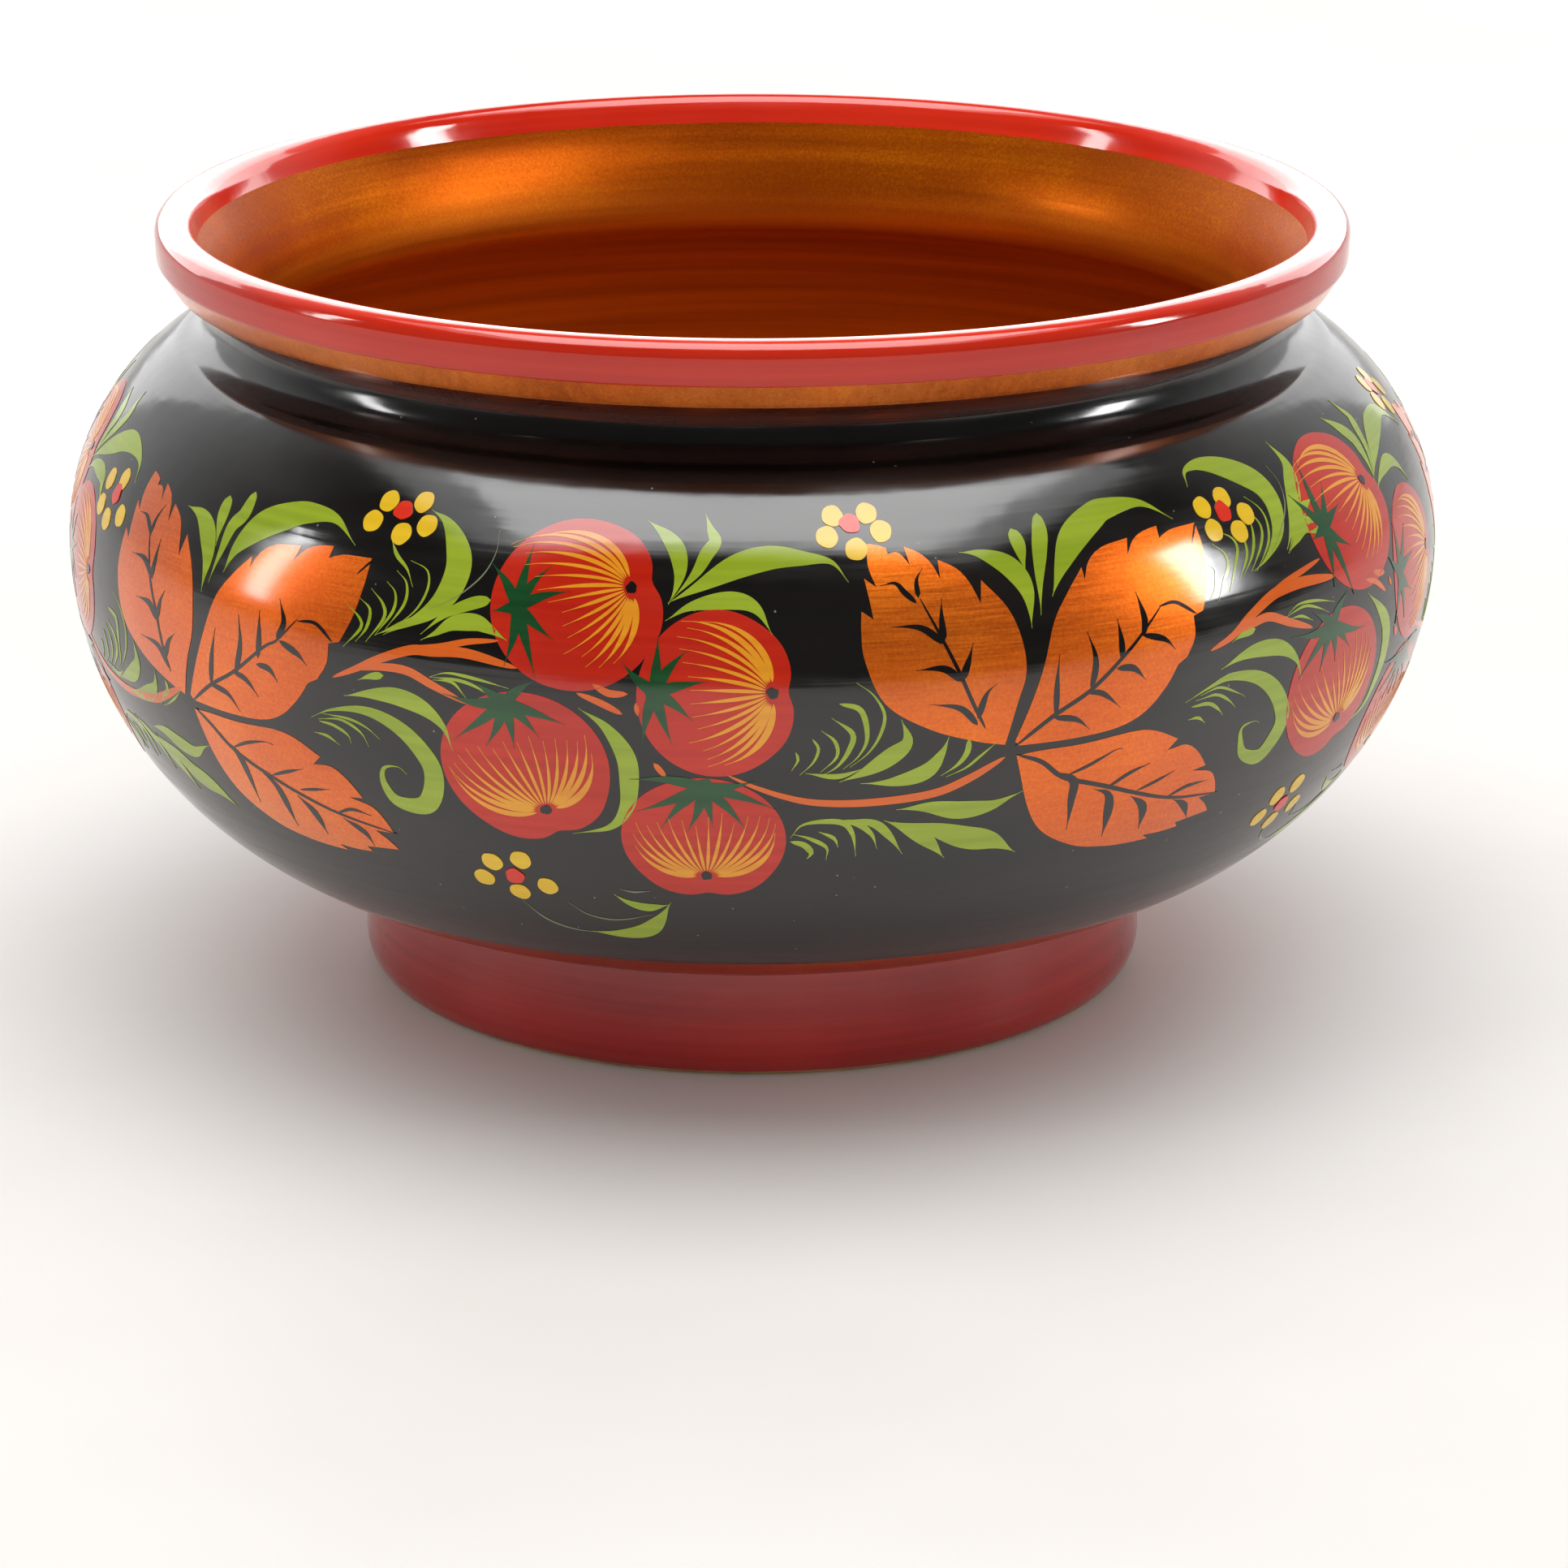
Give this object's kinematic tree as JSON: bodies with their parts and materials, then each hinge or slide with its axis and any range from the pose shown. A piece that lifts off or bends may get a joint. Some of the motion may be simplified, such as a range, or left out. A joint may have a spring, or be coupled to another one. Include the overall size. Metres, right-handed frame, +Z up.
{
  "type": "khokhloma painted bowl",
  "caption": "Round-bellied turned wooden bowl on a low foot, black lacquer painted with berries, gold leaves and green sprigs, red rim and gilded inside.",
  "frame": {"origin": "on the table surface, at the centre of the foot", "axes": "+Z up along the bowl's turning axis; -Y towards the viewer of the pictured side; +X to that viewer's right"},
  "size_m": [0.18, 0.18, 0.1021],
  "materials": {
    "lime_wood": "bare turned wood under a thin clear lacquer",
    "gilded_lacquer": "amber lacquer over tin powder, brushed round, satin gloss",
    "black_lacquer": "deep gloss black lacquer",
    "gold_band": "amber lacquer over tin powder, gloss",
    "red_enamel": "thick gloss vermilion enamel",
    "brown_lacquer": "dark amber lacquer, gloss",
    "foot_red": "dark red enamel, gloss, brushed round",
    "berry_red": "scarlet oil paint under gloss lacquer",
    "leaf_gold": "tin powder under amber lacquer, brushed metallic sheen",
    "leaf_green": "light green oil paint under gloss lacquer",
    "calyx_green": "dark green oil paint under gloss lacquer",
    "flower_yellow": "warm yellow oil paint under gloss lacquer",
    "stem_orange": "orange oil paint under gloss lacquer"
  },
  "bodies": {
    "root": {"bowl_body": "lime_wood", "rim_ring": "lime_wood", "foot_block": "lime_wood", "interior_gilding": "gilded_lacquer", "black_ground_coat": "black_lacquer", "underside_gold_band": "gold_band", "rim_red_enamel": "red_enamel", "rim_gold_band": "gold_band", "rim_undercut_band": "brown_lacquer", "foot_red_enamel": "foot_red"}
  },
  "joints": []
}
